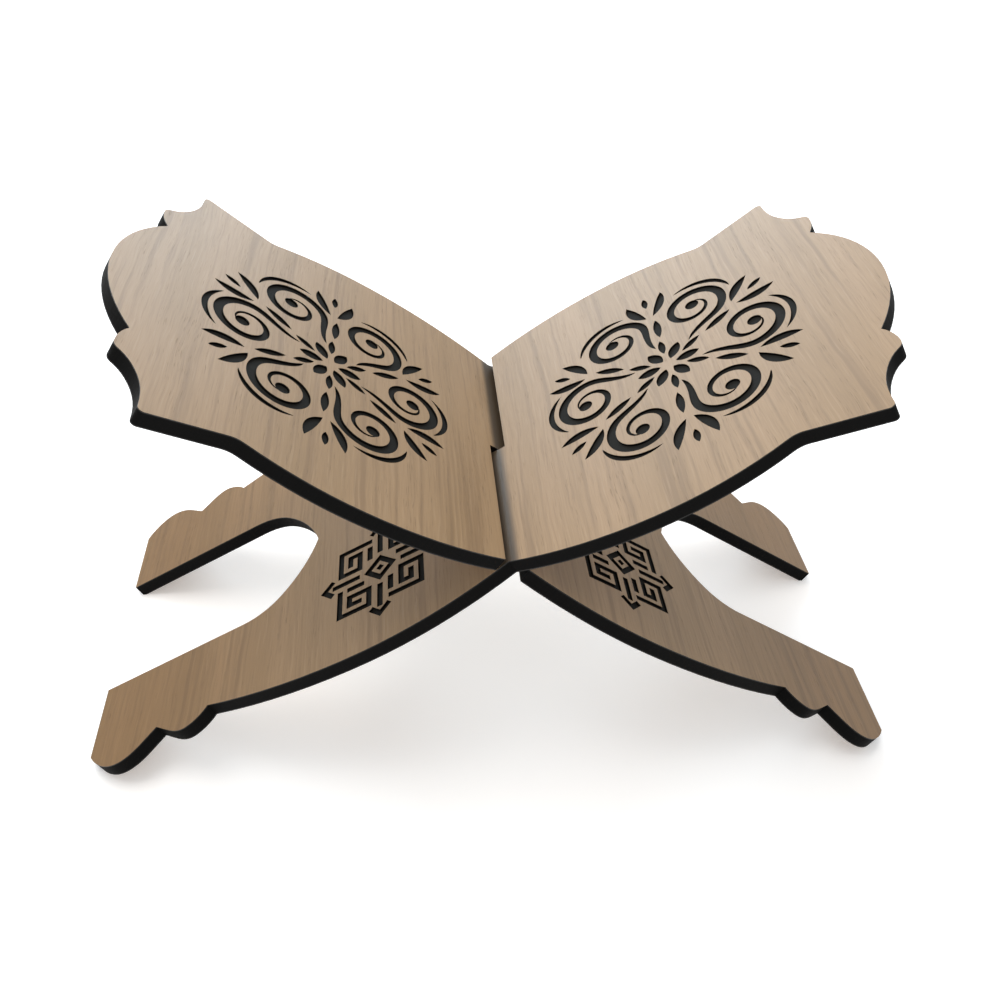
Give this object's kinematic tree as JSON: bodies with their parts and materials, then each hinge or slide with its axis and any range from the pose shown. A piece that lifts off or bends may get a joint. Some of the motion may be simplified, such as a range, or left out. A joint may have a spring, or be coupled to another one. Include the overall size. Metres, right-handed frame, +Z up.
{
  "type": "quran stand",
  "caption": "Folding X-shaped book stand of slotted, engraved, veneer-faced boards with lobed outlines; they cross at a fold line and open into a V that cradles a book.",
  "frame": {"origin": "on the floor, under the crossing of the two boards, in the middle of the stand", "axes": "+X across the opening, towards the side of the right board's book face; +Y along the fold line, away from the reader; +Z up"},
  "size_m": [0.5016, 0.2472, 0.2897],
  "materials": {
    "oak_veneer": "satin pale oak veneer, straight grain along the fold line",
    "board_core": "matt black dyed MDF, laser-cut and scorched edge"
  },
  "bodies": {
    "left_board": {"left_board_core": "board_core", "left_board_top_veneer": "oak_veneer", "left_board_underside_veneer": "oak_veneer"},
    "right_board": {"right_board_core": "board_core", "right_board_top_veneer": "oak_veneer", "right_board_underside_veneer": "oak_veneer"}
  },
  "joints": [
    {"name": "fold", "type": "hinge", "parent": "left_board", "child": "right_board", "pos_m": [0, 0, 0.15463], "axis": [0, -1, 0], "range_deg": [0, 55]}
  ]
}
